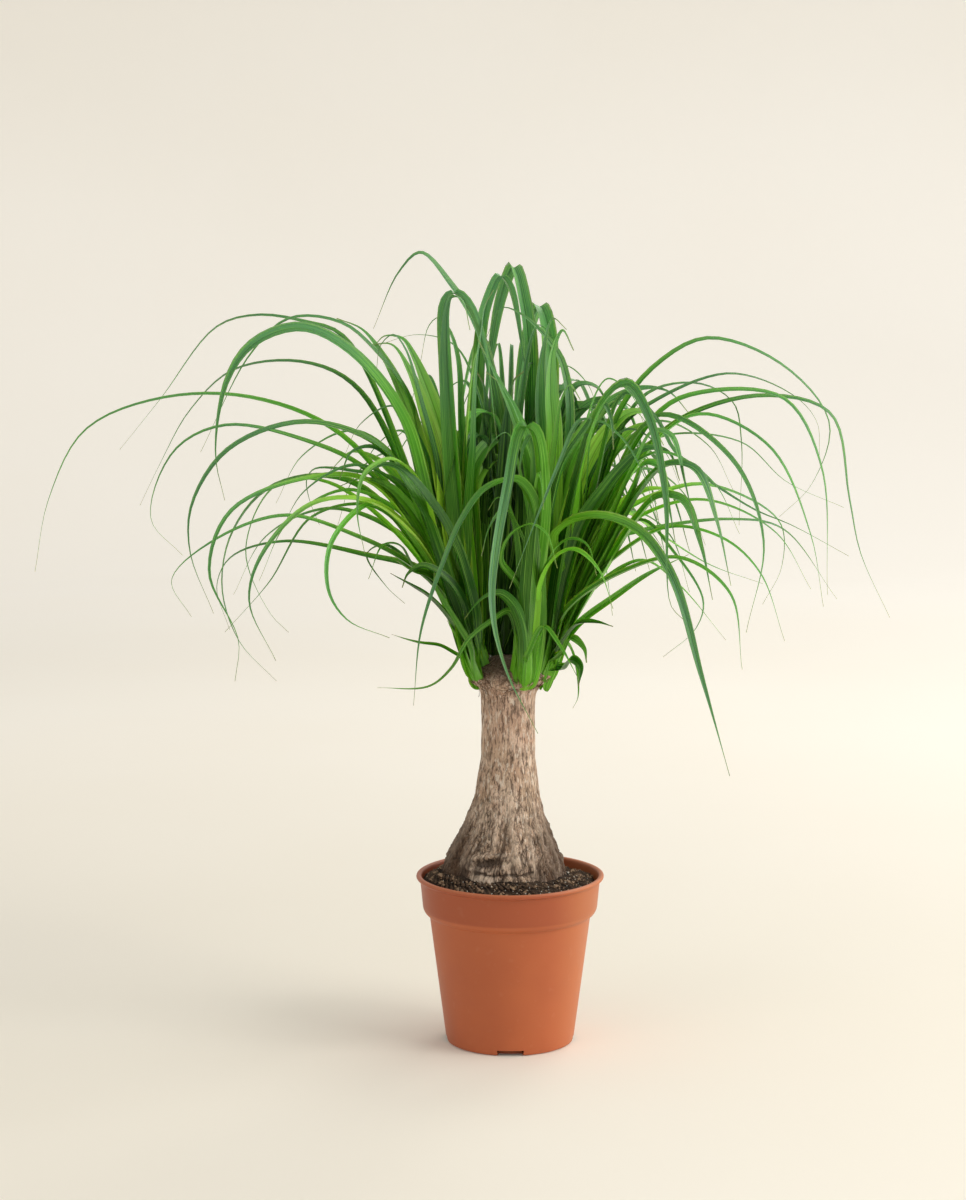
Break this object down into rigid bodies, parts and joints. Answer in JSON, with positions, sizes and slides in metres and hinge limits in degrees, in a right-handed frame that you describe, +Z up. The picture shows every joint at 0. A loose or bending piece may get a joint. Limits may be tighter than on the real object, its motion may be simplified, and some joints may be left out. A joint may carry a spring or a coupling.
{
  "type": "potted ponytail palm",
  "caption": "House plant with a swollen woody trunk and shoots of long arching strap leaves, standing in a soil-filled round nursery pot.",
  "frame": {"origin": "middle of the pot's flat foot, on the surface that it stands on", "axes": "+Z up, -Y towards the viewer of the picture, +X to the viewer's right"},
  "size_m": [0.76, 0.5452, 0.7084],
  "materials": {
    "pot": "satin",
    "soil": "matt, crumbly",
    "bark": "matt, furrowed",
    "leaf": "satin"
  },
  "bodies": {
    "root": {"pot": "pot", "soil": "soil", "trunk": "bark", "shoot_left": "leaf", "shoot_right": "leaf", "shoot_front": "leaf", "shoot_back": "leaf"}
  },
  "joints": []
}
